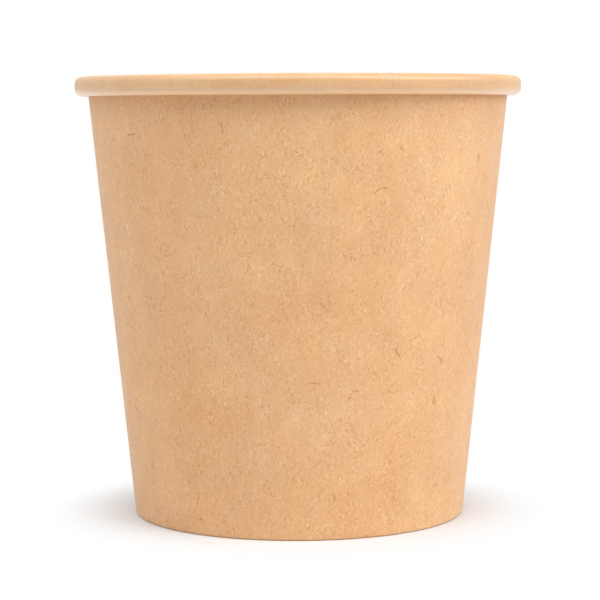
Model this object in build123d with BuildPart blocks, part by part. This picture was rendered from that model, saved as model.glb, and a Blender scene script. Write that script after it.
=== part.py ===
from build123d import *
import os
from math import atan, cos, degrees, hypot, radians, sin, tan

# A kraft paper hot cup, in millimetres. It stands on the XY plane with its axis on +Z.
# The side wall is one sheet of board: lapped and sealed down the back, rolled outwards at the rim,
# and folded in and up at the foot. The base disc's turned-down skirt is sealed inside that fold.
# Bends are taken in a few equal creases, which keeps the mesh of these thin rings light.

# Driving dimensions
rim_diameter = 62.0      # over the rolled rim
rim_height = 2.7         # top of the rolled rim to its underside
rim_overhang = 1.9       # wall's outer face to the outside of the rim, at the rim's underside
cup_height = 61.0        # standing edge to the top of the rim
base_diameter = 46.2     # over the foot of the wall
wall_board = 0.32        # thickness of the side wall's board
base_board = 0.30        # thickness of the base disc's board
base_level = 6.0         # top of the base disc above the standing edge
seal_gap = 0.02          # room for the seal on each side of the skirt
skirt_bend = 0.7         # outside radius of the bend between the disc and its skirt
skirt_clearance = 0.08   # skirt's lower edge above the inside of the fold
hem_clearance = 0.4      # hem's top edge below the start of the skirt's bend
fold_bend = 0.04         # inside radius of the two bends of the fold
roll_flat = 0.07         # flat left on top of the roll
roll_foot_bend = 1.0     # outside radius of the roll's lower turn
roll_tuck_bend = 0.50    # outside radius of the last turn, against the wall
roll_tuck = 1.1          # height of the tucked-up end above the rim's underside
roll_gap = 0.10          # between the tucked-up end and the wall
lap_width = 6.0          # overlap of the side seam
lap_ramp = 3.0           # width over which the outer layer comes back down to the wall
lap_press = 0.06         # how far the seal presses the two layers together
seam_angle = 90.0        # place of the seam about +Z, at the back

# Derived sizes
rim_radius = rim_diameter / 2
base_radius = base_diameter / 2
rim_underside = cup_height - rim_height
taper = (rim_radius - rim_overhang - base_radius) / rim_underside
lean = degrees(atan(taper))
lap_rise = wall_board - lap_press
skirt_depth = wall_board + seal_gap
hem_depth = skirt_depth + base_board + seal_gap
hem_top = base_level - skirt_bend - hem_clearance


def wall_radius(height, depth=0.0):
    """Radius at a height of the cone that lies a depth inside the wall's outer face."""
    return base_radius + taper * height - depth * hypot(1, taper)


def wall_point(height, depth=0.0):
    """Point of that cone in the XZ plane."""
    return Vector(wall_radius(height, depth), height)


def polar(radius, angle):
    """Point at an angle in degrees about the axis."""
    return Vector(radius * cos(radians(angle)), radius * sin(radians(angle)))


def bend(before, corner, after, radius, creases):
    """Points that take a sheet's face round an arc in equal creases, between two straight runs."""
    heading = (corner - before).normalized()
    turn = heading.get_signed_angle(after - corner, Vector(0, 0, 1))
    half_flat = radius * tan(radians(abs(turn) / creases) / 2)
    point = corner - heading * (radius * tan(radians(abs(turn)) / 2) - half_flat)
    points = [point]
    for _ in range(creases - 1):
        heading = heading.rotate(Axis.Z, turn / creases)
        point = point + heading * half_flat * 2
        points.append(point)
    return points


def sheet_line(corners, bends):
    """Points of a sheet's face: its ends, and a bend of a radius and creases at each corner between."""
    points = [corners[0]]
    for before, corner, after, (radius, creases) in zip(corners, corners[1:], corners[2:], bends):
        points += bend(before, corner, after, radius, creases)
    return points + [corners[-1]]


def wall_face(lift):
    """The wall's board a lift outside its inner face, from the hem's edge to the end of the roll."""
    lip_width = rim_radius - wall_radius(cup_height, wall_board)
    lip_bend = (lip_width - roll_flat) / (1 + tan(radians(90 - lean) / 2))
    corners = [
        wall_point(hem_top, hem_depth + lift),
        wall_point(wall_board - lift, hem_depth + lift),
        wall_point(wall_board - lift, wall_board - lift),
        wall_point(cup_height - lift, wall_board - lift),
        Vector(rim_radius - lift, cup_height - lift),
        Vector(rim_radius - lift, rim_underside + lift),
        wall_point(rim_underside + lift, -roll_gap - lift),
        wall_point(rim_underside + roll_tuck, -roll_gap - lift),
    ]
    bends = [
        (fold_bend + lift, 2),
        (fold_bend + lift, 2),
        (lip_bend - lift, 4),
        (lip_bend - lift, 4),
        (roll_foot_bend - lift, 3),
        (roll_tuck_bend - lift, 2),
    ]
    return sheet_line(corners, bends)


def disc_face(drop):
    """The base disc's board a drop below its upper face, from the axis to the edge of the skirt."""
    corners = [
        Vector(0, base_level - drop),
        wall_point(base_level - drop, skirt_depth + drop),
        wall_point(wall_board + skirt_clearance, skirt_depth + drop),
    ]
    return sheet_line(corners, [(skirt_bend - drop, 2)])


# Side wall
with BuildPart() as side_wall:
    with BuildSketch(Plane.XZ) as wall_section:
        with BuildLine() as wall_line:
            Polyline(*wall_face(0), *reversed(wall_face(wall_board)), close=True)
        make_face()
    revolve(axis=Axis.Z)

    # Outer layer of the lap: a cut edge on one side, a ramp down to the wall on the other
    for height in (wall_board, rim_underside):
        inside = wall_radius(height, wall_board / 2)
        outside = wall_radius(height, -lap_rise)
        lap_span = degrees(lap_width / outside)
        ramp_span = degrees(lap_ramp / outside)
        cut_edge = seam_angle - lap_span / 2
        with BuildSketch(Plane.XY.offset(height)) as lap_section:
            with BuildLine() as lap_line:
                Line(polar(inside, cut_edge), polar(outside, cut_edge))
                crown = CenterArc((0, 0), outside, cut_edge, lap_span)
                Line(crown @ 1, polar(inside, cut_edge + lap_span + ramp_span))
                CenterArc((0, 0), inside, cut_edge, lap_span + ramp_span)
            make_face()
    loft(ruled=True)

    # Groove inside, where the inner layer ends and the outer layer comes back to the cone
    for height in (base_level - base_board, cup_height - rim_height / 2):
        inside = wall_radius(height, wall_board)
        lap_end = seam_angle + degrees(lap_width / inside) / 2
        ramp_end = lap_end + degrees(lap_ramp / inside)
        with BuildSketch(Plane.XY.offset(height)) as groove_section:
            with BuildLine() as groove_line:
                Polyline(
                    polar(inside - wall_board / 2, lap_end),
                    polar(inside + lap_rise, lap_end),
                    polar(inside - wall_board / 2, ramp_end),
                    close=True,
                )
            make_face()
    loft(ruled=True, mode=Mode.SUBTRACT)

# Base disc with its skirt
with BuildPart() as base_disc:
    with BuildSketch(Plane.XZ) as disc_section:
        with BuildLine() as disc_line:
            Polyline(*disc_face(0), *reversed(disc_face(base_board)), close=True)
        make_face()
    revolve(axis=Axis.Z)

side_wall.part.label = "side_wall"
base_disc.part.label = "base_disc"

os.makedirs("parts", exist_ok=True)
export_step(side_wall.part, "parts/side_wall.step")
export_step(base_disc.part, "parts/base_disc.step")
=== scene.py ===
"""A kraft paper hot cup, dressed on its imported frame.

The side wall and the base disc are boards turned about the cup's axis by one Geometry Nodes tree. The tree
lays a board's section out in rows and columns, laps the wall at the back, presses the flutes of the hem and
maps every face to the flat blank that the board was cut from, which is where the fibres are drawn.
"""
import logging
import math
from dataclasses import dataclass, field, fields, replace
from enum import Enum
from typing import Mapping, NamedTuple, Sequence

import bpy
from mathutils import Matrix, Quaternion, Vector


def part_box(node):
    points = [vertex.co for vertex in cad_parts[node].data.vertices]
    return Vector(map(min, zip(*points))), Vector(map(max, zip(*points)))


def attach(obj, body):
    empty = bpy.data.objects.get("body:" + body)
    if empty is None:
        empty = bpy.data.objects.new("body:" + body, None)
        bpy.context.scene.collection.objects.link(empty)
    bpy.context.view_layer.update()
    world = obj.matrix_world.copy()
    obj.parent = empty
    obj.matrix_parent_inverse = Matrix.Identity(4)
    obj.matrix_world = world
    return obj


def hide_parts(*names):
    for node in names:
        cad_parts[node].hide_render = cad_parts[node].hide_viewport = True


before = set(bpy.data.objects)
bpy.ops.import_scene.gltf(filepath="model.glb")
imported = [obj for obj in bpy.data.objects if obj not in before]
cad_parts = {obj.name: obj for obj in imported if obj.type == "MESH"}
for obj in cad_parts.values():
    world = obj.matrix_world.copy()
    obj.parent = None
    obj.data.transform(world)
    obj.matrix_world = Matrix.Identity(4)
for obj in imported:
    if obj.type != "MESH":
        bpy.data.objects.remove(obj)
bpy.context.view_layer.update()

log = logging.getLogger("kraft_cup")

MM = 0.001
BLANK_MAP = "blank"
WHITE = (1.0, 1.0, 1.0, 1.0)
Colour = tuple[float, float, float]
Place = tuple[float, float, float]
Socket = bpy.types.NodeSocket


def fade(value: float, start: float, end: float) -> float:
    """Return a smooth step from 0 at start to 1 at end."""
    part = min(max((value - start) / (end - start), 0.0), 1.0)
    return part * part * (3.0 - 2.0 * part)


class Wiring:
    """Adds nodes to one tree and links them by the values they are given."""

    def __init__(self, tree: bpy.types.NodeTree) -> None:
        """Keep the tree that the nodes go into."""
        self.tree = tree

    def feed(self, socket: Socket, value: object) -> None:
        """Link a socket to another, or set it to a plain value.

        Args:
            socket: The input to feed.
            value: An output socket, or a value that the input holds.
        """
        if isinstance(value, Socket):
            self.tree.links.new(value, socket)
        else:
            socket.default_value = value

    def node(
        self, kind: str, given: Mapping[str | int, object] | None = None, **settings: object
    ) -> bpy.types.Node:
        """Add a node.

        Args:
            kind: The node's type name.
            given: Values or sockets for its inputs, by name or by place.
            settings: Attributes to set before its inputs are fed.

        Returns:
            The node.
        """
        made = self.tree.nodes.new(kind)
        for name, value in settings.items():
            setattr(made, name, value)
        for key, value in (given or {}).items():
            if isinstance(key, str):
                socket = next(s for s in made.inputs if s.enabled and s.name == key)
            else:
                socket = made.inputs[key]
            self.feed(socket, value)
        return made

    def math(self, operation: str, *terms: object, clamp: bool = False) -> Socket:
        """Add a Math node and return its output.

        Args:
            operation: The node's operation.
            terms: Numbers or sockets, in order.
            clamp: Whether the result is kept between 0 and 1.

        Returns:
            The output socket.
        """
        made = self.node("ShaderNodeMath", dict(enumerate(terms)), operation=operation, use_clamp=clamp)
        return made.outputs[0]

    def vector(self, operation: str, *terms: object) -> Socket:
        """Add a Vector Math node and return its vector output."""
        made = self.node("ShaderNodeVectorMath", dict(enumerate(terms)), operation=operation)
        return made.outputs["Vector"]

    def scaled(self, place: Socket, scale: object) -> Socket:
        """Add a Vector Math node that scales a place, and return its output."""
        made = self.node("ShaderNodeVectorMath", {0: place, "Scale": scale}, operation="SCALE")
        return made.outputs["Vector"]

    def length(self, place: Socket) -> Socket:
        """Add a Vector Math node that finds a place's distance from the origin, and return its output."""
        return self.node("ShaderNodeVectorMath", {0: place}, operation="LENGTH").outputs["Value"]

    def step(self, value: object, start: float, end: float) -> Socket:
        """Add a smooth step from 0 at start to 1 at end.

        Args:
            value: The number or socket to step on.
            start: Where the step begins.
            end: Where the step ends.

        Returns:
            The output socket.
        """
        given = {"Value": value, "From Min": start, "From Max": end}
        return self.node("ShaderNodeMapRange", given, interpolation_type="SMOOTHSTEP").outputs[0]

    def noise(
        self, place: Socket, scale: float, detail: float, seed: object, roughness: float = 0.5
    ) -> bpy.types.Node:
        """Add a noise texture with its own seed.

        Args:
            place: The socket with the coordinates.
            scale: Features to a unit of length.
            detail: Octaves of finer noise.
            seed: Which noise of its kind this is, as a number or a socket.
            roughness: Strength of each finer octave against the one before.

        Returns:
            The noise node, with a value first among its outputs and a colour second.
        """
        given = {"Vector": place, "Scale": scale, "Detail": detail, "Roughness": roughness, "W": seed}
        return self.node("ShaderNodeTexNoise", given, noise_dimensions="4D")

    def swing(self, noise: bpy.types.Node) -> Socket:
        """Return a noise's value about zero, within one either way."""
        return self.math("MULTIPLY_ADD", noise.outputs[0], 2.0, -1.0)


class Side(Enum):
    """Sides of a board, as the turning tree numbers them."""

    INSIDE = 0
    OUTSIDE = 1
    EDGE = 2


class Run(Enum):
    """Straight runs of a board's section, each with the bend that leads into it."""

    HEM = "hem"
    STANDING_EDGE = "standing edge"
    FOOT = "foot"
    WALL = "wall"
    WALL_TOP = "wall top"
    SHOULDER = "shoulder"
    LIP = "lip"
    BEAD = "bead"
    BEAD_FOOT = "bead foot"
    TUCK = "tuck"
    FLOOR = "floor"
    SKIRT = "skirt"


@dataclass(frozen=True)
class Corner:
    """A corner of a board's section, with the bend at it and the run that leaves it.

    Attributes:
        radius: Distance from the axis.
        height: Height above the standing edge.
        run: The run that leaves the corner.
        bend: Radius of the bend.
        turns: Equal turns that take the bend.
        cuts: Equal lengths that the run is cut into.
    """

    radius: float
    height: float
    run: Run
    bend: float = 0.0
    turns: int = 0
    cuts: int = 1

    @property
    def point(self) -> Vector:
        """The corner in the plane of the section."""
        return Vector((self.radius, self.height))


@dataclass(frozen=True)
class Row:
    """A row of a turned board: one point of its section and what happens to it all the way round.

    Attributes:
        radius: Distance from the axis.
        height: Height above the standing edge.
        normal: Direction from the board's inside to its outside.
        along: Distance along the sheet.
        run: The run that the point is on.
        side: The board's side that the point is on.
        lap: Share of the lap's rise that the point takes.
        wave: Share of the board's waviness that the point takes.
        flute: Share of the flutes' depth that the point takes.
    """

    radius: float
    height: float
    normal: Vector
    along: float
    run: Run
    side: Side
    lap: float = 0.0
    wave: float = 0.0
    flute: float = 0.0


def right_of(heading: Vector) -> Vector:
    """Return the direction on the right of a heading, which is a board's outside."""
    return Vector((heading.y, -heading.x))


def turned_right(heading: Vector, angle: float) -> Vector:
    """Return a heading turned to the right by an angle in radians."""
    return heading * math.cos(angle) + right_of(heading) * math.sin(angle)


def face_rows(corners: Sequence[Corner], side: Side) -> list[Row]:
    """Follow one side of a board from its first corner to its last, round true bends.

    Args:
        corners: Corners of that side of the board.
        side: Which side it is.

    Returns:
        The side's rows in order.
    """
    rows: list[Row] = []
    along = 0.0

    def add(point: Vector, heading: Vector, run: Run) -> None:
        """Add the row at a point.

        Args:
            point: Its place in the plane of the section.
            heading: The way that the side goes there.
            run: The run that it is on.
        """
        nonlocal along
        if rows:
            along += (point - Vector((rows[-1].radius, rows[-1].height))).length
        rows.append(Row(point.x, point.y, right_of(heading), along, run, side))

    begin = corners[0].point
    for number, (here, ahead) in enumerate(zip(corners, corners[1:])):
        heading = (ahead.point - here.point).normalized()
        turn = 0.0
        if number + 2 < len(corners):
            turn = heading.angle_signed(corners[number + 2].point - ahead.point)
        end = ahead.point - heading * ahead.bend * math.tan(abs(turn) / 2)
        for cut in range(here.cuts):
            add(begin.lerp(end, cut / here.cuts), heading, here.run)
        arm = math.copysign(ahead.bend, turn)
        hub = end + right_of(heading) * arm
        for part in range(ahead.turns):
            bent = turned_right(heading, turn * part / ahead.turns)
            add(hub - right_of(bent) * arm, bent, ahead.run)
        begin = hub - right_of(turned_right(heading, turn)) * arm
    add(begin, heading, corners[-1].run)
    return rows


def edge_rows(start: Row, end: Row) -> list[Row]:
    """Return the two rows of a board's cut edge, over the last rows of its two sides."""
    width = math.hypot(end.radius - start.radius, end.height - start.height)
    return [replace(start, side=Side.EDGE, along=0.0), replace(end, side=Side.EDGE, along=width)]


@dataclass(frozen=True)
class Turning:
    """What the turning tree is told about one board. Each field is one input of the tree.

    Attributes:
        outside: Finish of the outside.
        inside: Finish of the inside.
        cut_edge: Finish of the cut edges.
        columns: Columns of the mesh, with the two that close it.
        fan: Turn of the flat blank for each turn of the board.
        fan_start: Distance from the blank's centre to the first row.
        closed: 1 where the section is a ring, 0 where it starts and ends on the axis.
        seam: Angle of the seam about the axis.
        lap_columns: Columns across the lap.
        ramp_columns: Columns across the ramp beside the lap.
        lap_width: Width of the lap.
        lap_ramp: Width over which the outer layer comes back down.
        lap_rise: Rise of the outer layer over the inner one.
        lap_slant: How far the lap's cut edge leans back over its rise.
        wave_depth: Most that the board's waviness moves a point.
        waves: Waves to a metre.
        wave_seed: Which waviness of its kind this is.
        flutes: Flutes round the hem.
        flute_depth: Depth of a flute.
    """

    outside: bpy.types.Material
    inside: bpy.types.Material
    cut_edge: bpy.types.Material
    columns: int
    fan: float
    fan_start: float
    closed: int = 1
    seam: float = math.pi / 2
    lap_columns: int = 1
    ramp_columns: int = 1
    lap_width: float = 0.0
    lap_ramp: float = 0.0
    lap_rise: float = 0.0
    lap_slant: float = 0.0
    wave_depth: float = 0.0
    waves: float = 60.0
    wave_seed: float = 0.0
    flutes: int = 0
    flute_depth: float = 0.0


@dataclass(frozen=True)
class GridPoint:
    """What the turning tree knows about each point of its grid, as sockets.

    Attributes:
        column: The point's column.
        step_column: The column at which the lap's inner layer ends.
        last_column: The last column before the lap's cut edge.
        ramp: Share of the ramp that lies before the point.
        cut: 1 in the column of the cut edge, 0 elsewhere.
        radius: Distance of the point's row from the axis.
        height: Height of its row.
        side: Number of its row's side.
        inside: 1 on the board's inside, 0 elsewhere.
        lap: Share of the lap's rise that its row takes.
    """

    column: Socket
    step_column: Socket
    last_column: Socket
    ramp: Socket
    cut: Socket
    radius: Socket
    height: Socket
    side: Socket
    inside: Socket
    lap: Socket


class TurningTree:
    """The Geometry Nodes tree that turns a board's section about the cup's axis."""

    SOCKETS = {int: "NodeSocketInt", float: "NodeSocketFloat", bpy.types.Material: "NodeSocketMaterial"}
    SIDE_SHIFT = 0.5  # metres between the blanks of a board's two sides in the map
    CLOSE_WITHIN = 0.002 * MM  # points nearer than this are one
    SHARP_FROM = math.radians(35.0)  # an edge that turns by more than this is drawn sharp
    MIDWAY = 0.5  # from one column to the next
    SAME_WITHIN = 0.1  # numbers nearer than this are the same

    def __init__(self) -> None:
        """Make the tree, with an input for each field of Turning."""
        self.tree = bpy.data.node_groups.new("turn_board", "GeometryNodeTree")
        face = self.tree.interface
        face.new_socket("Section", in_out="INPUT", socket_type="NodeSocketGeometry")
        face.new_socket("Board", in_out="OUTPUT", socket_type="NodeSocketGeometry")
        self.identifiers: dict[str, str] = {}
        for one in fields(Turning):
            made = face.new_socket(one.name, in_out="INPUT", socket_type=self.SOCKETS[one.type])
            self.identifiers[one.name] = made.identifier
        self.w = Wiring(self.tree)
        self.given = self.w.node("NodeGroupInput").outputs
        size = self.w.node("GeometryNodeAttributeDomainSize", {"Geometry": self.given["Section"]})
        self.size = size.outputs["Point Count"]
        self.index = self.w.node("GeometryNodeInputIndex").outputs["Index"]
        line = self.w.math("FLOOR", self.w.math("DIVIDE", self.index, self.given["columns"]))
        self.row = self.w.math("MODULO", line, self.size)
        self._wire()

    def _sampled(self, kind: str, value: Socket) -> Socket:
        """Return a value of the section's point in this row."""
        asked = {"Geometry": self.given["Section"], "Value": value, "Index": self.row}
        return self.w.node("GeometryNodeSampleIndex", asked, data_type=kind).outputs["Value"]

    def _named(self, name: str, kind: str = "FLOAT") -> Socket:
        """Return a named value of the section's point in this row."""
        found = self.w.node("GeometryNodeInputNamedAttribute", {"Name": name}, data_type=kind)
        return self._sampled(kind, found.outputs["Attribute"])

    def _numbered(self, value: Socket, side: Side) -> Socket:
        """Return 1 where a number is that of a side, 0 elsewhere."""
        return self.w.math("COMPARE", value, float(side.value), self.SAME_WITHIN)

    def _point(self) -> GridPoint:
        """Find each point's column, and sample its row of the section.

        Returns:
            What is known about each point of the grid.
        """
        w, given = self.w, self.given
        column = w.math("MODULO", self.index, given["columns"])
        step_column = w.math("ADD", given["lap_columns"], 1.0)
        last_column = w.math("SUBTRACT", given["columns"], 2.0)
        past_step = w.math("SUBTRACT", column, step_column)
        here = self._sampled("FLOAT_VECTOR", w.node("GeometryNodeInputPosition").outputs[0])
        place = w.node("ShaderNodeSeparateXYZ", {0: here}).outputs
        side = self._named("side")
        return GridPoint(
            column=column,
            step_column=step_column,
            last_column=last_column,
            ramp=w.math("DIVIDE", past_step, given["ramp_columns"], clamp=True),
            cut=w.math("GREATER_THAN", column, w.math("ADD", last_column, self.MIDWAY)),
            radius=place["X"],
            height=place["Z"],
            side=side,
            inside=self._numbered(side, Side.INSIDE),
            lap=self._named("lap"),
        )

    def _from_seam(self, point: GridPoint) -> Socket:
        """Find each point's angle from the middle of the seam.

        The columns go across the lap, step in where its inner layer ends, go down the ramp and round the rest
        of the turn, and close over the lap's cut edge, which leans back.

        Args:
            point: What is known about each point.

        Returns:
            Socket with the angle in radians.
        """
        w, given = self.w, self.given
        lap_width, lap_ramp = given["lap_width"], given["lap_ramp"]
        in_lap = w.math("DIVIDE", point.column, given["lap_columns"], clamp=True)
        arc = w.math("MULTIPLY_ADD", in_lap, lap_width, w.math("MULTIPLY", point.ramp, lap_ramp))
        ramp_end = w.math("ADD", point.step_column, given["ramp_columns"])
        past_ramp = w.math("SUBTRACT", point.column, ramp_end)
        rest = w.math("DIVIDE", past_ramp, w.math("SUBTRACT", point.last_column, ramp_end), clamp=True)
        outside = w.math("SUBTRACT", 1.0, point.inside)
        slant = w.math("MULTIPLY", w.math("MULTIPLY", point.lap, outside), given["lap_slant"])
        lap_arc = w.math("ADD", w.math("ADD", lap_width, lap_ramp), slant)
        lap_angle = w.math("DIVIDE", w.math("MULTIPLY_ADD", lap_width, -0.5, arc), point.radius)
        rest_angle = w.math("SUBTRACT", math.tau, w.math("DIVIDE", lap_arc, point.radius))
        lean_back = w.math("DIVIDE", w.math("MULTIPLY", point.cut, slant), point.radius)
        return w.math("ADD", w.math("MULTIPLY_ADD", rest, rest_angle, lap_angle), lean_back)

    def _lapped(self, point: GridPoint) -> Socket:
        """Find how far the lap moves each point along the board's normal.

        Args:
            point: What is known about each point.

        Returns:
            Socket with the distance.
        """
        w = self.w
        falling = w.step(point.ramp, 1.0, 0.0)
        outer = w.math("MAXIMUM", falling, point.cut)
        past_step = w.math("GREATER_THAN", point.column, w.math("SUBTRACT", point.step_column, self.MIDWAY))
        inner = w.math("MULTIPLY", falling, past_step)
        rise = w.node("ShaderNodeMix", {"Factor": point.inside, "A": outer, "B": inner}).outputs[0]
        return w.math("MULTIPLY", w.math("MULTIPLY", rise, self.given["lap_rise"]), point.lap)

    def _waved(self, place: Socket) -> Socket:
        """Find how far the board's waviness moves each point along the board's normal.

        Args:
            place: Socket with the point's place on the true board.

        Returns:
            Socket with the distance.
        """
        w, given = self.w, self.given
        waves = w.noise(w.scaled(place, given["waves"]), scale=1.0, detail=1.0, seed=given["wave_seed"])
        swing = w.swing(waves)
        return w.math("MULTIPLY", w.math("MULTIPLY", swing, given["wave_depth"]), self._named("wave"))

    def _fluted(self, angle: Socket) -> Socket:
        """Find how far the flutes move each point along the board's normal.

        Args:
            angle: Socket with the point's angle about the axis.

        Returns:
            Socket with the distance.
        """
        w, given = self.w, self.given
        swing = w.math("COSINE", w.math("MULTIPLY", angle, given["flutes"]))
        press = w.math("MULTIPLY_ADD", swing, -0.5, -0.5)  # from 0 on a crest to -1 in a trough
        return w.math("MULTIPLY", w.math("MULTIPLY", press, given["flute_depth"]), self._named("flute"))

    def _position(self, point: GridPoint, angle: Socket) -> Socket:
        """Place each point, turned about the axis and moved along the board's normal.

        Args:
            point: What is known about each point.
            angle: Its angle about the axis.

        Returns:
            Socket with its place.
        """
        w = self.w
        east, north = w.math("COSINE", angle), w.math("SINE", angle)

        def turned(radius: Socket, height: Socket) -> Socket:
            """Return the place at a radius and a height."""
            x, y = w.math("MULTIPLY", radius, east), w.math("MULTIPLY", radius, north)
            return w.node("ShaderNodeCombineXYZ", {"X": x, "Y": y, "Z": height}).outputs[0]

        waved = self._waved(turned(point.radius, point.height))
        offset = w.math("ADD", w.math("ADD", self._lapped(point), waved), self._fluted(angle))
        normal = w.node("ShaderNodeSeparateXYZ", {0: self._named("sheet_normal", "FLOAT_VECTOR")}).outputs
        return turned(
            w.math("MULTIPLY_ADD", normal["X"], offset, point.radius),
            w.math("MULTIPLY_ADD", normal["Z"], offset, point.height),
        )

    def _flat(self, point: GridPoint, from_seam: Socket) -> Socket:
        """Find each point's place on the flat blank, whose middle is the front of the cup.

        Args:
            point: What is known about each point.
            from_seam: Its angle from the middle of the seam.

        Returns:
            Socket with the place on the blank.
        """
        w, given = self.w, self.given
        spread = w.math("MULTIPLY", w.math("SUBTRACT", from_seam, math.pi), given["fan"])
        span = w.math("ADD", given["fan_start"], self._named("along"))
        across = w.math("MULTIPLY", span, w.math("SINE", spread))
        return w.node("ShaderNodeCombineXYZ", {
            "X": w.math("MULTIPLY_ADD", point.side, self.SIDE_SHIFT, across),
            "Y": w.math("MULTIPLY", span, w.math("COSINE", spread)),
        }).outputs[0]

    def _wire(self) -> None:
        """Add the tree's nodes: the grid, the places of its points, its map and its finishes."""
        w, given = self.w, self.given
        point = self._point()
        from_seam = self._from_seam(point)
        rows = w.math("ADD", self.size, given["closed"])
        grid = w.node("GeometryNodeMeshGrid", {"Vertices X": rows, "Vertices Y": given["columns"]})

        # What each point knows before the seams are closed, and from it each face's finish
        points = w.node("GeometryNodeCaptureAttribute", domain="POINT")
        faces = w.node("GeometryNodeCaptureAttribute", domain="FACE")
        for kind, name in (("FLOAT", "side"), ("FLOAT", "column"), ("VECTOR", "flat")):
            points.capture_items.new(kind, name)
        faces.capture_items.new("FLOAT", "finish")
        w.feed(points.inputs["Geometry"], grid.outputs["Mesh"])
        w.feed(points.inputs["side"], point.side)
        w.feed(points.inputs["column"], point.column)
        w.feed(points.inputs["flat"], self._flat(point, from_seam))
        known = points.outputs
        cut_face = w.math("ADD", point.last_column, self.MIDWAY)
        step_face = w.math("SUBTRACT", point.step_column, self.MIDWAY)
        at_cut = w.math("COMPARE", known["column"], cut_face, self.SAME_WITHIN)
        at_step = w.math("COMPARE", known["column"], step_face, self.SAME_WITHIN)
        on_edge = w.math("MULTIPLY", w.math("MAXIMUM", at_cut, at_step), float(Side.EDGE.value))

        position = self._position(point, w.math("ADD", from_seam, given["seam"]))
        shaped = w.node("GeometryNodeSetPosition", {"Geometry": known["Geometry"], "Position": position})
        w.feed(faces.inputs["Geometry"], shaped.outputs["Geometry"])
        w.feed(faces.inputs["finish"], w.math("MAXIMUM", known["side"], on_edge))
        mapped = w.node(
            "GeometryNodeStoreNamedAttribute",
            {"Geometry": faces.outputs["Geometry"], "Name": BLANK_MAP, "Value": known["flat"]},
            data_type="FLOAT2", domain="CORNER",
        )
        closing = {"Geometry": mapped.outputs["Geometry"], "Distance": self.CLOSE_WITHIN}
        closed = w.node("GeometryNodeMergeByDistance", closing)
        board = w.node("GeometryNodeRealizeInstances", {"Geometry": closed.outputs["Geometry"]})
        dressing = {"Geometry": board.outputs["Geometry"], "Material": given["outside"]}
        board = w.node("GeometryNodeSetMaterial", dressing)
        for name, side in (("inside", Side.INSIDE), ("cut_edge", Side.EDGE)):
            chosen = self._numbered(faces.outputs["finish"], side)
            dressing = {"Geometry": board.outputs["Geometry"], "Selection": chosen, "Material": given[name]}
            board = w.node("GeometryNodeSetMaterial", dressing)
        w.node("NodeGroupOutput", {"Board": board.outputs["Geometry"]})

    def turn(self, name: str, rows: Sequence[Row], turning: Turning) -> bpy.types.Object:
        """Turn a section into a plain mesh piece.

        Args:
            name: The piece's name.
            rows: The section's rows in order.
            turning: Values of the tree's inputs.

        Returns:
            The piece, at the origin, with no modifier left on it.
        """
        section = bpy.data.meshes.new(name + "_section")
        section.from_pydata([(row.radius, 0.0, row.height) for row in rows], [], [])
        normals = section.attributes.new("sheet_normal", "FLOAT_VECTOR", "POINT")
        normals.data.foreach_set("vector", [x for row in rows for x in (row.normal.x, 0.0, row.normal.y)])
        numbers = {
            "side": [float(row.side.value) for row in rows],
            **{key: [getattr(row, key) for row in rows] for key in ("along", "lap", "wave", "flute")},
        }
        for key, values in numbers.items():
            section.attributes.new(key, "FLOAT", "POINT").data.foreach_set("value", values)
        piece = bpy.data.objects.new(name, section)
        bpy.context.scene.collection.objects.link(piece)
        modifier = piece.modifiers.new("turn", "NODES")
        modifier.node_group = self.tree
        for key, identifier in self.identifiers.items():
            modifier[identifier] = getattr(turning, key)
        depsgraph = bpy.context.evaluated_depsgraph_get()
        mesh = bpy.data.meshes.new_from_object(
            piece.evaluated_get(depsgraph), preserve_all_data_layers=True, depsgraph=depsgraph
        )
        piece.modifiers.clear()
        piece.data = mesh
        mesh.name = name
        bpy.data.meshes.remove(section)
        mesh.materials.pop(index=0)  # the grid's own empty slot
        mesh.shade_smooth()
        mesh.set_sharp_from_angle(angle=self.SHARP_FROM)
        return piece


class NoiseKind(NamedTuple):
    """A noise of the pulp.

    Attributes:
        scale: Features to a millimetre.
        detail: Octaves of finer noise.
        seed: Which noise of its kind this is.
        roughness: Strength of each finer octave against the one before.
    """

    scale: float
    detail: float
    seed: float
    roughness: float = 0.5


class FibreKind(NamedTuple):
    """Short fibres that lie in one direction, each in a cell of its own.

    Attributes:
        turn: Their direction in radians, from up the sheet.
        width: Width of a cell in millimetres.
        length: Length of a cell in millimetres.
        reach: Half of a fibre's width and length, as a share of its cell's.
        strength: Their strength.
    """

    turn: float
    width: float
    length: float
    reach: float
    strength: float


class Channel(NamedTuple):
    """How the pulp's shade changes one channel of its colour.

    Attributes:
        axis: The channel's place in a vector.
        fibre_power: Power of the fibres' shade.
        cloud_power: Power of the clouds' shade.
        drift: Share of the drift in hue.
    """

    axis: str
    fibre_power: float
    cloud_power: float
    drift: float


class FlatSheet:
    """The flat blank in a shader group, in millimetres, and the noises over it."""

    NOISE_MIDDLE = (0.5, 0.5, 0.5)  # middle of a noise's colour

    def __init__(self, w: Wiring, blank: Socket) -> None:
        """Keep the group's wiring and the place on the blank."""
        self.w = w
        self.place = w.scaled(blank, 1.0 / MM)

    def drawn_out(self, shares: Place) -> Socket:
        """Return the place with each axis multiplied by its share, so that noise is drawn out along it."""
        return self.w.vector("MULTIPLY", self.place, shares)

    def moved(self, kind: NoiseKind, reach: Place) -> Socket:
        """Return the place, moved by noise over a reach."""
        shift = self.w.vector("SUBTRACT", self.w.noise(self.place, *kind).outputs[1], self.NOISE_MIDDLE)
        return self.w.vector("MULTIPLY_ADD", shift, reach, self.place)

    def swing(self, kind: NoiseKind, place: Socket | None = None) -> Socket:
        """Return noise about zero, at the sheet's own place or at another."""
        noise = self.w.noise(self.place if place is None else place, *kind)
        return self.w.swing(noise)


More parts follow.
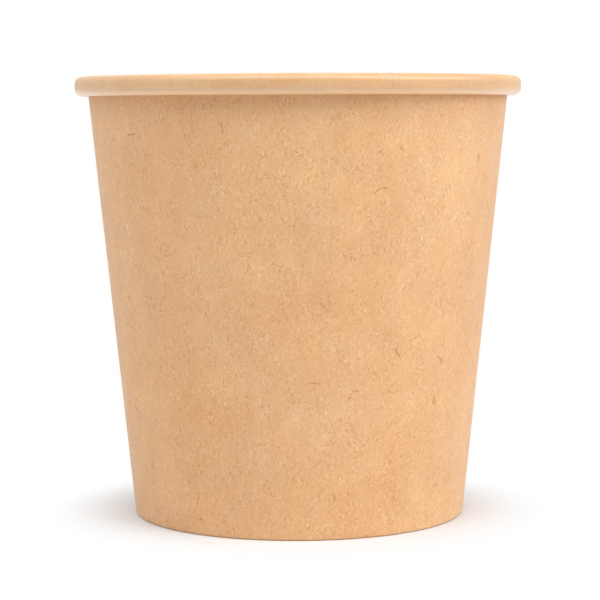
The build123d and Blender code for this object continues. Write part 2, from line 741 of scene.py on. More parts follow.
class KraftPulp:
    """Shader groups that draw kraft pulp on a flat blank, in millimetres."""

    DARK_FIBRES = (
        FibreKind(0.10, 0.11, 1.50, 0.30, 1.0),
        FibreKind(-0.60, 0.11, 1.30, 0.29, 0.9),
        FibreKind(0.85, 0.11, 1.30, 0.29, 0.9),
        FibreKind(1.45, 0.12, 1.20, 0.28, 0.8),
        FibreKind(0.40, 0.15, 0.45, 0.30, 0.65),
    )
    PALE_FIBRES = (
        FibreKind(-0.15, 0.11, 1.50, 0.30, 1.0),
        FibreKind(0.55, 0.11, 1.30, 0.29, 0.9),
        FibreKind(-0.95, 0.11, 1.30, 0.29, 0.9),
        FibreKind(1.30, 0.15, 0.50, 0.30, 0.7),
    )
    PALE_SHIFT = (31.0, 17.0, 0.0)  # keeps the pale fibres' cells off the dark ones'
    FIBRE_SIDE = (1.0, 0.35)  # shares of its reach at which a fibre starts and is full
    FEW_STRONG = 3.0  # power that leaves few fibres strong
    FIBRE_BEND = NoiseKind(0.9, 0.0, 3.0)
    FIBRE_BEND_BY = (0.7, 0.7, 0.0)
    CLUMPS = NoiseKind(0.5, 1.0, 21.0)
    CLUMP_SIDE = (-0.3, 0.3)  # values of that noise at which a clump starts and is full
    BETWEEN_CLUMPS = 0.65  # strength of the fibres between clumps
    IN_CLUMPS = 0.7  # what a clump adds to it
    HAIR_LINES = NoiseKind(0.16, 0.0, 9.0)
    HAIR_SIDE = (0.020, 0.005)  # values of that noise at which a hair starts and is full
    HAIR_SWAY = NoiseKind(0.10, 0.0, 7.0)
    HAIR_SWAY_BY = (9.0, 9.0, 0.0)
    HAIR_LENGTHS = NoiseKind(0.34, 0.0, 11.0)
    HAIR_END = (0.36, 0.46)  # values of that noise at which a hair starts and is full
    GRAIN = NoiseKind(3.4, 1.0, 1.0)
    CLOUDS = NoiseKind(0.06, 3.5, 13.0, 0.9)
    UPRIGHT = (1.0, 0.8, 1.0)  # draws the grain and the clouds out up the sheet
    BANDS = NoiseKind(1.0, 1.0, 17.0)
    BAND_SPREAD = (0.28, 0.012, 0.0)  # bands to a millimetre, across and up the sheet
    BAND_SHARE = 0.12  # strength of the bands beside the clouds
    HUE_DRIFT = NoiseKind(0.10, 4.0, 19.0, 0.8)
    DRIFT_SHARE = 0.5  # strength of the drift in hue beside the clouds
    ROUGH_SHARE = 0.06  # change of the roughness over the grain and the clouds
    RELIEF_SHARE = 0.5  # height of the grain and depth of dark fibres beside the height of pale ones
    CHANNELS = (
        Channel("X", 0.42, 0.46, 0.65),
        Channel("Y", 1.0, 1.0, 0.54),
        Channel("Z", 1.60, 1.70, -0.53),
    )

    def __init__(self) -> None:
        """Make the two groups."""
        self.fibre = self._fibre_group()
        self.pulp = self._pulp_group()

    @staticmethod
    def _group(name: str, inputs: Mapping[str, str], outputs: Mapping[str, str]) -> bpy.types.NodeTree:
        """Make an empty shader group with its sockets.

        Args:
            name: The group's name.
            inputs: Kinds of its inputs by name.
            outputs: Kinds of its outputs by name.

        Returns:
            The group.
        """
        group = bpy.data.node_groups.new(name, "ShaderNodeTree")
        for way, sockets in (("INPUT", inputs), ("OUTPUT", outputs)):
            for key, kind in sockets.items():
                group.interface.new_socket(key, in_out=way, socket_type="NodeSocket" + kind)
        return group

    def _fibre_group(self) -> bpy.types.NodeTree:
        """Make the group that scatters short fibres in one direction, each with its own strength.

        Returns:
            The group.
        """
        inputs = {"Sheet": "Vector", "Turn": "Float", "Width": "Float", "Length": "Float", "Reach": "Float"}
        group = self._group("short_fibres", inputs, {"Mask": "Float"})
        w = Wiring(group)
        given = w.node("NodeGroupInput").outputs
        turning = {"Vector": given["Sheet"], "Angle": given["Turn"]}
        turned = w.node("ShaderNodeVectorRotate", turning, rotation_type="Z_AXIS").outputs[0]
        cell = w.node("ShaderNodeCombineXYZ", {"X": given["Width"], "Y": given["Length"], "Z": 1.0})
        in_cells = w.vector("DIVIDE", turned, cell.outputs[0])
        found = w.node("ShaderNodeTexVoronoi", {"Vector": in_cells, "Scale": 1.0}, voronoi_dimensions="2D")
        near = w.math("DIVIDE", found.outputs["Distance"], given["Reach"])
        chance = w.node("ShaderNodeSeparateColor", {0: found.outputs["Color"]}).outputs[0]
        strength = w.math("POWER", chance, self.FEW_STRONG)
        mask = w.math("MULTIPLY", w.step(near, *self.FIBRE_SIDE), strength)
        w.node("NodeGroupOutput", {"Mask": mask})
        return group

    def _fibres(self, w: Wiring, place: Socket, kinds: Sequence[FibreKind]) -> Socket:
        """Add several kinds of fibres together.

        Args:
            w: The wiring of the group that they go into.
            place: Socket with the place on the blank.
            kinds: The kinds of fibres.

        Returns:
            Socket with their sum.
        """
        total: object = 0.0
        for kind in kinds:
            given = {
                "Sheet": place,
                "Turn": kind.turn,
                "Width": kind.width,
                "Length": kind.length,
                "Reach": kind.reach,
            }
            mask = w.node("ShaderNodeGroup", given, node_tree=self.fibre).outputs["Mask"]
            total = w.math("MULTIPLY_ADD", mask, kind.strength, total)
        return total

    def _fibres_in_clumps(self, sheet: FlatSheet) -> tuple[Socket, Socket]:
        """Draw the short fibres, which bend and are stronger in clumps.

        Args:
            sheet: The flat blank.

        Returns:
            Sockets with the dark fibres and with the pale ones.
        """
        w = sheet.w
        bent = sheet.moved(self.FIBRE_BEND, self.FIBRE_BEND_BY)
        in_clump = w.step(sheet.swing(self.CLUMPS), *self.CLUMP_SIDE)
        clump = w.math("MULTIPLY_ADD", in_clump, self.IN_CLUMPS, self.BETWEEN_CLUMPS)
        shifted = w.vector("ADD", bent, self.PALE_SHIFT)
        dark = w.math("MULTIPLY", self._fibres(w, bent, self.DARK_FIBRES), clump)
        pale = w.math("MULTIPLY", self._fibres(w, shifted, self.PALE_FIBRES), clump)
        return dark, pale

    def _hairs(self, sheet: FlatSheet) -> Socket:
        """Draw the hairs, which are short lengths of the contour lines of a slow noise.

        Args:
            sheet: The flat blank.

        Returns:
            Socket with the hairs.
        """
        w = sheet.w
        lines = sheet.swing(self.HAIR_LINES, sheet.moved(self.HAIR_SWAY, self.HAIR_SWAY_BY))
        line = w.step(w.math("ABSOLUTE", lines), *self.HAIR_SIDE)
        return w.math("MULTIPLY", line, w.step(sheet.swing(self.HAIR_LENGTHS), *self.HAIR_END))

    def _tone(self, w: Wiring, fine: Socket, mottle: Socket, drift: Socket) -> Socket:
        """Turn the sheet's shades into a tone for each channel of its colour.

        Args:
            w: The wiring of the group.
            fine: Socket with the shade of the grain, the fibres and the hairs.
            mottle: Socket with the shade of the clouds and the bands.
            drift: Socket with the drift in hue.

        Returns:
            Socket with the tones.
        """
        tones: dict[str, Socket] = {}
        for channel in self.CHANNELS:
            fibres = w.math("POWER", fine, channel.fibre_power)
            clouds = w.math("POWER", mottle, channel.cloud_power)
            hue = w.math("MULTIPLY_ADD", drift, channel.drift, 1.0)
            tones[channel.axis] = w.math("MULTIPLY", w.math("MULTIPLY", fibres, clouds), hue)
        return w.node("ShaderNodeCombineXYZ", tones).outputs[0]

    def _pulp_group(self) -> bpy.types.NodeTree:
        """Make the group that gives a kraft sheet its colour, roughness and height.

        Returns:
            The group.
        """
        amounts = ("Grain", "Dark fibres", "Pale fibres", "Hairs", "Clouds", "Roughness")
        inputs = {"Blank": "Vector", "Tint": "Color", **dict.fromkeys(amounts, "Float")}
        outputs = {"Colour": "Color", "Roughness": "Float", "Height": "Float"}
        group = self._group("kraft_pulp", inputs, outputs)
        w = Wiring(group)
        given = w.node("NodeGroupInput").outputs
        sheet = FlatSheet(w, given["Blank"])

        # Grain, fibres and hairs, then clouds of formation, bands up the sheet and a drift in hue
        upright = sheet.drawn_out(self.UPRIGHT)
        grain = sheet.swing(self.GRAIN, upright)
        dark, pale = self._fibres_in_clumps(sheet)
        hair = self._hairs(sheet)
        bands = sheet.swing(self.BANDS, sheet.drawn_out(self.BAND_SPREAD))
        broad = w.math("MULTIPLY_ADD", bands, self.BAND_SHARE, sheet.swing(self.CLOUDS, upright))
        drift_reach = w.math("MULTIPLY", given["Clouds"], self.DRIFT_SHARE)
        drift = w.math("MULTIPLY", sheet.swing(self.HUE_DRIFT), drift_reach)

        # Colour, roughness and height
        fine = w.math("MULTIPLY_ADD", grain, given["Grain"], 1.0)
        marks = ((dark, -1.0, "Dark fibres"), (pale, 1.0, "Pale fibres"), (hair, -1.0, "Hairs"))
        for mask, sign, amount in marks:
            fine = w.math("MULTIPLY_ADD", w.math("MULTIPLY", mask, sign), given[amount], fine)
        mottle = w.math("MULTIPLY_ADD", broad, given["Clouds"], 1.0)
        tone = self._tone(w, fine, mottle, drift)
        uneven = w.math("ADD", grain, broad)
        sunk = w.math("MULTIPLY", dark, self.RELIEF_SHARE)
        w.node("NodeGroupOutput", {
            "Colour": w.vector("MULTIPLY", tone, given["Tint"]),
            "Roughness": w.math("MULTIPLY_ADD", uneven, self.ROUGH_SHARE, given["Roughness"]),
            "Height": w.math("MULTIPLY_ADD", grain, self.RELIEF_SHARE, w.math("SUBTRACT", pale, sunk)),
        })
        return group


@dataclass(frozen=True)
class KraftFinish:
    """One finish of kraft board.

    Attributes:
        name: The material's name.
        tint: Colour of the pulp, linear.
        grain: Strength of the fine grain.
        dark_fibres: Strength of the dark fibres.
        pale_fibres: Strength of the pale fibres.
        hairs: Strength of the long curved hairs.
        clouds: Strength of the clouds of formation.
        roughness: Roughness of the surface.
        specular: Specular level of the surface.
        sheen: Weight of the pale bloom that loose fibres give at a slant.
        sheen_roughness: Roughness of that bloom.
        coat: Weight of the clear film over it.
        coat_roughness: Roughness of that film.
        coat_ior: Index of refraction of that film.
        relief: Height of the fibres.
        rolled_from: Distance from the axis beyond which the board is rolled, if it is.
        polished: Heights at which the curling die's polish of the roll starts and is full.
        painted_floor_light: Heights at which painted light from the floor on the roll's lower turn starts and
            is full.
        painted_floor_light_tint: Paler colour painted there as light from the floor.
    """

    name: str
    tint: Colour
    grain: float = 0.05
    dark_fibres: float = 0.51
    pale_fibres: float = 0.48
    hairs: float = 0.42
    clouds: float = 0.30
    roughness: float = 0.58
    specular: float = 0.75
    sheen: float = 0.12
    sheen_roughness: float = 0.45
    coat: float = 0.0
    coat_roughness: float = 0.3
    coat_ior: float = 1.5
    relief: float = 0.012 * MM
    rolled_from: float | None = None
    polished: tuple[float, ...] = ()
    painted_floor_light: tuple[float, ...] = ()
    # painted light from the floor, on the roll's lower turn
    painted_floor_light_tint: Colour = (0.97, 0.63, 0.35)

    def rolled(self, w: Wiring, colour: Socket) -> tuple[object, Socket]:
        """Find the clear film's weight, which the curling die's polish raises on the roll, and the board's
        colour, which is painted paler on the roll's lower turn as light from the floor.

        Args:
            w: The wiring of the material.
            colour: Socket with the pulp's colour.

        Returns:
            The film's weight, as a number or as a socket, and a socket with the colour.
        """
        if self.rolled_from is None:
            return self.coat, colour
        place = w.node("ShaderNodeTexCoord").outputs["Object"]
        height = w.node("ShaderNodeSeparateXYZ", {0: place}).outputs["Z"]
        radius = w.length(w.vector("MULTIPLY", place, (1.0, 1.0, 0.0)))
        outside = w.math("GREATER_THAN", radius, self.rolled_from)
        polished = w.math("MULTIPLY", w.step(height, *self.polished), outside)
        # painted light from the floor: the roll's lower turn is painted paler
        painted_floor_light = w.math("MULTIPLY", w.step(height, *self.painted_floor_light), outside)
        film = w.math("MULTIPLY_ADD", polished, 1.0 - self.coat, self.coat)
        given = {"Factor": painted_floor_light, "A": colour, "B": (*self.painted_floor_light_tint, 1.0)}
        return film, w.node("ShaderNodeMix", given, data_type="RGBA").outputs["Result"]

    def material(self, pulp: KraftPulp) -> bpy.types.Material:
        """Make the finish.

        Args:
            pulp: The shader groups that draw the pulp.

        Returns:
            The material.
        """
        made = bpy.data.materials.new(self.name)
        made.use_nodes = True
        made.node_tree.nodes.clear()
        w = Wiring(made.node_tree)
        drawn = w.node("ShaderNodeGroup", {
            "Blank": w.node("ShaderNodeUVMap", uv_map=BLANK_MAP).outputs["UV"],
            "Tint": (*self.tint, 1.0),
            "Grain": self.grain,
            "Dark fibres": self.dark_fibres,
            "Pale fibres": self.pale_fibres,
            "Hairs": self.hairs,
            "Clouds": self.clouds,
            "Roughness": self.roughness,
        }, node_tree=pulp.pulp).outputs
        bump = w.node("ShaderNodeBump", {"Height": drawn["Height"], "Distance": self.relief, "Strength": 1.0})
        film, colour = self.rolled(w, drawn["Colour"])
        shader = w.node("ShaderNodeBsdfPrincipled", {
            "Base Color": colour,
            "Roughness": drawn["Roughness"],
            "Normal": bump.outputs[0],
            "Specular IOR Level": self.specular,
            "Coat Weight": film,
            "Coat Roughness": self.coat_roughness,
            "Coat IOR": self.coat_ior,
            "Sheen Weight": self.sheen,
            "Sheen Roughness": self.sheen_roughness,
        })
        w.node("ShaderNodeOutputMaterial", {"Surface": shader.outputs[0]})
        return made


KRAFT_OUTSIDE = KraftFinish("kraft_outside", (0.765, 0.433, 0.200))
KRAFT_INSIDE = KraftFinish(
    "kraft_inside", (0.67, 0.390, 0.180), dark_fibres=0.26, pale_fibres=0.24, hairs=0.16, roughness=0.55,
    specular=0.55, sheen=0.0, coat=0.35, coat_roughness=0.28, coat_ior=1.85, relief=0.005 * MM,
)
# Cut edges are darker than the board: partly the cut pulp's own tone, partly painted shade of the gap under
# the lap's edge.
KRAFT_EDGE = KraftFinish(
    "kraft_cut_edge", (0.42, 0.24, 0.11), grain=0.16, roughness=0.85, specular=0.3, sheen=0.0
)
BASE_TOP = replace(KRAFT_INSIDE, name="base_upper", tint=(0.74, 0.43, 0.21))
BASE_UNDER = replace(KRAFT_OUTSIDE, name="base_under", tint=(0.74, 0.43, 0.20))
BASE_EDGE = replace(KRAFT_EDGE, name="base_cut_edge")


@dataclass(frozen=True)
class WallCone:
    """The cone of the wall's outer face."""

    foot_radius: float  # at the standing edge
    taper: float        # radius gained for each unit of height

    @property
    def lean(self) -> float:
        """Angle of the wall from upright, in radians."""
        return math.atan(self.taper)

    def radius(self, height: float, depth: float = 0.0) -> float:
        """Return the radius at a height of the cone that lies a depth inside this one."""
        return self.foot_radius + self.taper * height - depth * math.hypot(1.0, self.taper)

    def corner(self, height: float, depth: float, run: Run, **shape: float) -> Corner:
        """Return a corner of a section on the cone that lies a depth inside this one."""
        return Corner(self.radius(height, depth), height, run, **shape)


def settle(piece: bpy.types.Object, node: str) -> bpy.types.Object:
    """Put a piece on the cup's body in place of its node.

    Args:
        piece: The finished piece.
        node: The node that it stands for.

    Returns:
        The piece.
    """
    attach(piece, "root")
    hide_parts(node)
    return piece


@dataclass(kw_only=True)
class SideWall:
    """The wall: one board, folded in and up at the foot, lapped at the back and rolled out at the rim."""

    rim_radius: float                     # over the rolled rim
    cup_height: float                     # standing edge to the top of the rim
    rim_height: float = 2.7 * MM          # top of the rolled rim to its underside
    rim_overhang: float = 1.9 * MM        # rim's outside beyond the wall's outer face, at the underside
    foot_radius: float = 23.1 * MM        # over the foot of the wall
    board: float = 0.32 * MM              # thickness of the wall's board
    skirt_board: float = 0.30 * MM        # thickness of the skirt in the fold
    seal_gap: float = 0.02 * MM           # room for the seal on each side of the skirt
    hem_top: float = 4.9 * MM             # height of the hem's cut edge
    fold_bend: float = 0.04 * MM          # inside radius of the two bends of the fold
    roll_flat: float = 0.07 * MM          # flat left on top of the roll
    roll_foot_bend: float = 1.0 * MM      # outside radius of the roll's lower turn
    roll_tuck_bend: float = 0.50 * MM     # outside radius of the last turn, against the wall
    roll_tuck: float = 1.1 * MM           # height of the tucked-up end above the rim's underside
    roll_gap: float = 0.10 * MM           # between the tucked-up end and the wall
    lap_width: float = 6.0 * MM           # overlap of the side seam
    lap_ramp: float = 3.0 * MM            # width over which the outer layer comes back down
    lap_rise: float = 0.26 * MM           # rise of the outer layer over the inner one
    lap_slant: float = 0.18 * MM          # how far the lap's cut edge leans back
    lap_low: float = 1.2 * MM             # height at which the lap starts
    lap_end: float = 0.15 * MM            # length over which it ends under the rim
    polish: tuple[float, float] = (1.25 * MM, 0.65 * MM)   # above the rim's underside: starts, is full
    # painted light from the floor on the roll's lower turn, above the rim's underside: starts, is full
    painted_floor_light_band: tuple[float, float] = (0.9 * MM, 0.1 * MM)    # above the rim's underside: starts, is full
    flutes: int = 72                      # pressed flutes round the hem
    flute_depth: float = 0.13 * MM
    flute_foot: tuple[float, float] = (0.7 * MM, 1.5 * MM)  # heights at which they start and are full
    flute_fade: float = 0.8 * MM          # length over which they end under the hem's edge
    wave_depth: float = 0.05 * MM         # most that the wall is out of true
    waves: float = 60.0                   # waves to a metre
    wave_seed: float = 4.0
    wave_foot: tuple[float, float] = (9.0 * MM, 18.0 * MM)  # heights at which they start and are full
    wave_top: tuple[float, float] = (3.0 * MM, 12.0 * MM)   # the same, down from the rim's underside
    columns: int = 612
    lap_columns: int = 20
    ramp_columns: int = 14
    hem_cuts: int = 6
    wall_cuts: int = 16
    shown_turns: int = 9                  # turns of a bend that shows
    hidden_turns: int = 4                 # turns of a bend that doesn't
    rim_lap: Mapping[Run, float] = field(default_factory=lambda: {  # shares of the lap's rise inside
        Run.WALL: 1.0, Run.WALL_TOP: 1.0, Run.SHOULDER: 1.0, Run.LIP: 0.7, Run.BEAD: 0.55, Run.BEAD_FOOT: 0.3,
    })

    @property
    def underside(self) -> float:
        """Height of the rim's underside."""
        return self.cup_height - self.rim_height

    @property
    def cone(self) -> WallCone:
        """The cone of the wall's outer face."""
        top_radius = self.rim_radius - self.rim_overhang
        return WallCone(self.foot_radius, (top_radius - self.foot_radius) / self.underside)

    @property
    def hem_depth(self) -> float:
        """Depth of the hem's inner face inside the wall's outer face."""
        return self.board + self.skirt_board + 2 * self.seal_gap

    def corners(self, lift: float) -> list[Corner]:
        """Lay out the board a lift outside its inner face, from the hem's edge to the end of the roll.

        Args:
            lift: Distance from the board's inner face.

        Returns:
            The corners in order.
        """
        cone = self.cone
        lip_width = self.rim_radius - cone.radius(self.cup_height, self.board)
        lip_bend = (lip_width - self.roll_flat) / (1 + math.tan((math.pi / 2 - cone.lean) / 2)) - lift
        folded, rolled = self.shown_turns, self.hidden_turns
        if lift == 0.0:  # the inner face is hidden in the fold and shows on the roll
            folded, rolled = rolled, folded
        fold = {"bend": self.fold_bend + lift, "turns": folded}
        hem, wall, tuck = self.hem_depth + lift, self.board - lift, -self.roll_gap - lift
        rim, top, low = self.rim_radius - lift, self.cup_height - lift, self.underside + lift
        foot = self.board - lift  # height of this face where the board folds
        return [
            cone.corner(self.hem_top, hem, Run.HEM, cuts=self.hem_cuts),
            cone.corner(foot, hem, Run.STANDING_EDGE, **fold),
            cone.corner(foot, wall, Run.FOOT, **fold),
            cone.corner(self.lap_low, wall, Run.WALL, cuts=self.wall_cuts),
            cone.corner(self.underside - self.lap_end, wall, Run.WALL_TOP),
            cone.corner(self.underside, wall, Run.SHOULDER),
            cone.corner(top, wall, Run.LIP, bend=lip_bend, turns=rolled),
            Corner(rim, top, Run.BEAD, lip_bend, rolled),
            Corner(rim, low, Run.BEAD_FOOT, self.roll_foot_bend - lift, rolled),
            cone.corner(low, tuck, Run.TUCK, bend=self.roll_tuck_bend - lift, turns=self.hidden_turns),
            cone.corner(self.underside + self.roll_tuck, tuck, Run.TUCK),
        ]

    def shaped(self, row: Row) -> Row:
        """Say what the tree does to one row of the board.

        Args:
            row: The plain row.

        Returns:
            The row with its shares of the lap, the waviness and the flutes.
        """
        wave = fade(row.height, *self.wave_foot) * fade(self.underside - row.height, *self.wave_top)
        if row.side is Side.INSIDE:
            return replace(row, lap=self.rim_lap.get(row.run, 0.0), wave=wave)
        lap = 1.0 if row.run in (Run.WALL, Run.WALL_TOP) else 0.0
        flute = 0.0
        if row.run is Run.HEM:
            flute = fade(row.height, *self.flute_foot) * fade(self.hem_top - row.height, 0.0, self.flute_fade)
        return replace(row, lap=lap, wave=wave, flute=flute)

    def section(self) -> list[Row]:
        """Follow the board right round its section.

        Returns:
            The rows of its two sides and of the cut edges at its two ends.
        """
        inside = [self.shaped(row) for row in face_rows(self.corners(0.0), Side.INSIDE)]
        outside = [self.shaped(row) for row in face_rows(self.corners(self.board), Side.OUTSIDE)]
        return [
            *inside,
            *edge_rows(inside[-1], outside[-1]),
            *reversed(outside),
            *edge_rows(outside[0], inside[0]),
        ]

    def build(self, tree: TurningTree, pulp: KraftPulp) -> bpy.types.Object:
        """Make the wall and dress it.

        Args:
            tree: The tree that turns the board.
            pulp: The shader groups that draw the pulp.

        Returns:
            The piece, on its body and in place of its node.
        """
        inside = replace(
            KRAFT_INSIDE,
            rolled_from=self.rim_radius - self.rim_overhang,
            polished=tuple(self.underside + height for height in self.polish),
            # the band of painted light from the floor on the roll's lower turn
            painted_floor_light=tuple(self.underside + height for height in self.painted_floor_light_band),
        )
        slope = math.sin(self.cone.lean)
        turning = Turning(
            outside=KRAFT_OUTSIDE.material(pulp),
            inside=inside.material(pulp),
            cut_edge=KRAFT_EDGE.material(pulp),
            columns=self.columns,
            fan=slope,
            fan_start=self.foot_radius / slope - self.hem_top,
            lap_columns=self.lap_columns,
            ramp_columns=self.ramp_columns,
            lap_width=self.lap_width,
            lap_ramp=self.lap_ramp,
            lap_rise=self.lap_rise,
            lap_slant=self.lap_slant,
            wave_depth=self.wave_depth,
            waves=self.waves,
            wave_seed=self.wave_seed,
            flutes=self.flutes,
            flute_depth=self.flute_depth,
        )
        return settle(tree.turn("kraft_side_wall", self.section(), turning), "side_wall")


@dataclass(kw_only=True)
class BaseDisc:
    """The base: a board disc with a turned-down skirt, sealed inside the fold of the wall."""

    cone: WallCone                        # the cone of the wall's outer face
    level: float                          # height of the disc's upper face
    skirt_low: float                      # height of the skirt's lower edge
    skirt_depth: float = 0.34 * MM        # wall's outer face to the skirt's
    board: float = 0.30 * MM              # thickness of the disc's board
    skirt_bend: float = 0.7 * MM          # outside radius of the bend between the disc and its skirt
    dish: float = 0.16 * MM               # how far the disc sinks at its middle
    flat_border: float = 2.0 * MM         # width inside the wall's outer face that stays flat
    wave_depth: float = 0.05 * MM         # most that the disc is out of true
    waves: float = 70.0                   # waves to a metre
    wave_seed: float = 8.0
    columns: int = 362
    floor_cuts: int = 16
    bend_turns: int = 8

    def corners(self, drop: float) -> list[Corner]:
        """Lay out the board a drop below its upper face, from the axis to the skirt's edge.

        Args:
            drop: Distance below the upper face.

        Returns:
            The corners in order.
        """
        level, depth = self.level - drop, self.skirt_depth + drop
        return [
            Corner(0.0, level, Run.FLOOR, cuts=self.floor_cuts),
            self.cone.corner(level, depth, Run.SKIRT, bend=self.skirt_bend - drop, turns=self.bend_turns),
            self.cone.corner(self.skirt_low, depth, Run.SKIRT),
        ]

    def shaped(self, row: Row) -> Row:
        """Sink one row of the disc into the dish and say how it waves.

        Args:
            row: The plain row.

        Returns:
            The row with its shares of the dish and the waviness.
        """
        if row.run is not Run.FLOOR:
            return row
        inner = fade(row.radius, self.cone.radius(self.level) - self.flat_border, 0.0)
        return replace(row, height=row.height - self.dish * inner, wave=inner)

    def section(self) -> list[Row]:
        """Follow the board from the axis along its upper face, round the skirt's edge and back.

        Returns:
            The rows of its two sides and of its cut edge.
        """
        upper = [self.shaped(row) for row in face_rows(self.corners(0.0), Side.INSIDE)]
        under = [self.shaped(row) for row in face_rows(self.corners(self.board), Side.OUTSIDE)]
        return [*upper, *edge_rows(upper[-1], under[-1]), *reversed(under)]

    def build(self, tree: TurningTree, pulp: KraftPulp) -> bpy.types.Object:
        """Make the disc and dress it.

        Args:
            tree: The tree that turns the board.
            pulp: The shader groups that draw the pulp.

        Returns:
            The piece, on its body and in place of its node.
        """
        turning = Turning(
            outside=BASE_UNDER.material(pulp),
            inside=BASE_TOP.material(pulp),
            cut_edge=BASE_EDGE.material(pulp),
            columns=self.columns,
            fan=1.0,
            fan_start=0.0,
            closed=0,
            wave_depth=self.wave_depth,
            waves=self.waves,
            wave_seed=self.wave_seed,
        )
        return settle(tree.turn("kraft_base_disc", self.section(), turning), "base_disc")


@dataclass(frozen=True)
class Softbox:
    """A rectangular lamp that faces the middle of the cup.

    Attributes:
        name: The lamp's name.
        bearing: Degrees round to the right from the camera's side.
        rise: Degrees above level.
        size: Its width and height.
        power: Its power in watts.
        distance: Its distance from the middle of the cup.
        aim: The middle of the cup.
    """

    name: str
    bearing: float
    rise: float
    size: tuple[float, float]
    power: float
    distance: float = 0.9
    aim: Place = (0.0, 0.0, 0.03)

    def hang(self) -> bpy.types.Object:
        """Make the lamp, unseen by the camera.

        Returns:
            The lamp.
        """
        lamp = bpy.data.lights.new(self.name, "AREA")
        lamp.shape = "RECTANGLE"
        lamp.size, lamp.size_y = self.size
        lamp.energy = self.power
        made = bpy.data.objects.new(self.name, lamp)
        bearing, rise = math.radians(self.bearing), math.radians(self.rise)
        level = math.cos(rise)
        out = Vector((math.sin(bearing) * level, -math.cos(bearing) * level, math.sin(rise)))
        made.location = Vector(self.aim) + out * self.distance
        made.rotation_mode = "QUATERNION"
        made.rotation_quaternion = (-out).to_track_quat("-Z", "Y")
        made.visible_camera = False
        bpy.context.scene.collection.objects.link(made)
        return made


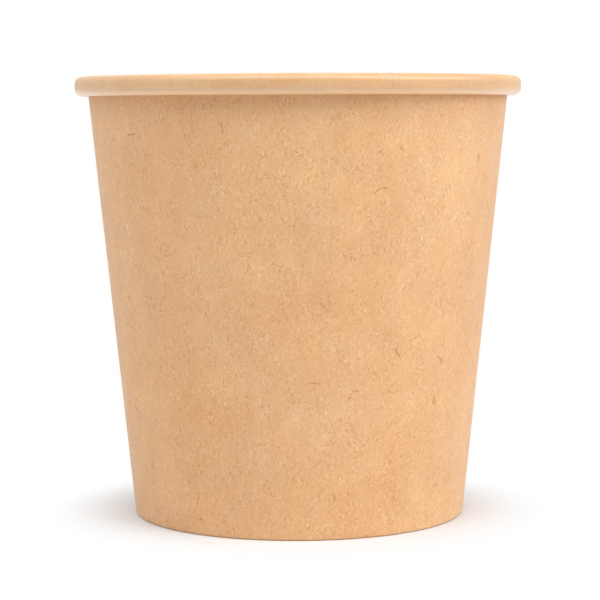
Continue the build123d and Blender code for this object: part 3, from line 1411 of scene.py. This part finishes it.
@dataclass(kw_only=True)
class Studio:
    """A pale floor, soft lamps, an even white surround and the camera."""

    surround: float = 0.1                 # strength of the surround's light on the cup
    floor_radius: float = 0.5
    floor_sides: int = 96
    floor_drop: float = 0.02 * MM         # floor below the standing edge
    floor_colour: Colour = (0.72, 0.72, 0.72)
    white_from: float = 0.020             # distance from the axis at which the floor starts to turn white
    white_by: float = 0.036               # distance at which it is white
    eye: Place = (0.000196, -0.29605, 0.05624)
    aim_height: float = 0.02970           # height on the axis that the camera looks at
    lens: float = 126.60                  # millimetres
    sensor: float = 36.0                  # millimetres
    roll: float = -0.0037                 # radians
    clip: tuple[float, float] = (0.01, 100.0)
    lamps: tuple[Softbox, ...] = (
        Softbox("front_softbox", 0.0, 66.0, (1.2, 0.6), 5.5),
        Softbox("right_front_softbox", 52.0, 38.0, (0.4, 0.8), 3.4),
        Softbox("right_softbox", 85.0, 30.0, (0.6, 0.4), 2.8),
        Softbox("left_front_softbox", -30.0, 48.0, (0.8, 0.5), 1.8),
        Softbox("left_softbox", -90.0, 20.0, (1.2, 1.2), 3.1),
        Softbox("back_softbox", -170.0, 48.0, (0.6, 0.6), 1.2),
    )

    @staticmethod
    def _seen_ray(w: Wiring) -> Socket:
        """Tell the rays that show the surround: to the camera, in a reflection or through glass.

        Args:
            w: The wiring of the world or the paint.

        Returns:
            Socket with 1 for such rays, 0 for the rest.
        """
        path = w.node("ShaderNodeLightPath").outputs
        plain = w.math("MAXIMUM", path["Is Camera Ray"], path["Is Glossy Ray"])
        return w.math("MAXIMUM", plain, path["Is Transmission Ray"])

    def light(self) -> None:
        """Make the world and the lamps."""
        world = bpy.data.worlds.new("white_surround")
        bpy.context.scene.world = world
        world.use_nodes = True
        world.node_tree.nodes.clear()
        w = Wiring(world.node_tree)
        shown = w.node("ShaderNodeMix", {"Factor": self._seen_ray(w), "A": self.surround, "B": 1.0})
        given = {"Color": WHITE, "Strength": shown.outputs[0]}
        w.node("ShaderNodeOutputWorld", {"Surface": w.node("ShaderNodeBackground", given).outputs[0]})
        for lamp in self.lamps:
            lamp.hang()

    def paint(self) -> bpy.types.Material:
        """Make the floor's paint, which keeps the cup's shadow and turns plain white further out.

        Returns:
            The paint.
        """
        made = bpy.data.materials.new("pale_floor")
        made.use_nodes = True
        made.node_tree.nodes.clear()
        w = Wiring(made.node_tree)
        away = w.length(w.node("ShaderNodeTexCoord").outputs["Object"])
        share = w.math("MULTIPLY", w.step(away, self.white_from, self.white_by), self._seen_ray(w))
        matt = w.node("ShaderNodeBsdfDiffuse", {"Color": (*self.floor_colour, 1.0)})
        white = w.node("ShaderNodeEmission", {"Color": WHITE, "Strength": 1.0})
        mixed = w.node("ShaderNodeMixShader", {0: share, 1: matt.outputs[0], 2: white.outputs[0]})
        w.node("ShaderNodeOutputMaterial", {"Surface": mixed.outputs[0]})
        return made

    def floor(self) -> bpy.types.Object:
        """Make the round floor under the cup.

        Returns:
            The floor.
        """
        angles = [math.tau * side / self.floor_sides for side in range(self.floor_sides)]
        rim = [
            (self.floor_radius * math.cos(angle), self.floor_radius * math.sin(angle), -self.floor_drop)
            for angle in angles
        ]
        mesh = bpy.data.meshes.new("studio_floor")
        mesh.from_pydata(rim, [], [list(range(self.floor_sides))])
        mesh.materials.append(self.paint())
        made = bpy.data.objects.new("studio_floor", mesh)
        bpy.context.scene.collection.objects.link(made)
        return made

    def camera(self) -> bpy.types.Object:
        """Make the camera at the photograph's place.

        Returns:
            The camera.
        """
        lens = bpy.data.cameras.new("photo_camera")
        lens.lens, lens.sensor_width = self.lens, self.sensor
        lens.clip_start, lens.clip_end = self.clip
        made = bpy.data.objects.new("photo_camera", lens)
        made.location = self.eye
        made.rotation_mode = "QUATERNION"
        look = Vector((0.0, -self.eye[1], self.aim_height - self.eye[2]))
        made.rotation_quaternion = look.to_track_quat("-Z", "Y") @ Quaternion((0.0, 0.0, 1.0), self.roll)
        bpy.context.scene.collection.objects.link(made)
        bpy.context.scene.camera = made
        bpy.context.scene.view_settings.view_transform = "Standard"
        return made


def main() -> None:
    """Build the cup, its studio and its camera."""
    logging.basicConfig(level=logging.INFO, format="%(name)s: %(message)s")
    tree = TurningTree()
    pulp = KraftPulp()
    wall_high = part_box("side_wall")[1]
    base_low, base_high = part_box("base_disc")
    wall = SideWall(rim_radius=wall_high.x, cup_height=wall_high.z)
    base = BaseDisc(cone=wall.cone, level=base_high.z, skirt_low=base_low.z)
    for part in (wall, base):
        piece = part.build(tree, pulp)
        log.info("%s: %d faces", piece.name, len(piece.data.polygons))
    studio = Studio()
    studio.light()
    log.info("floor: %s", studio.floor().name)
    log.info("camera: %s", studio.camera().name)


if __name__ == "__main__":
    main()
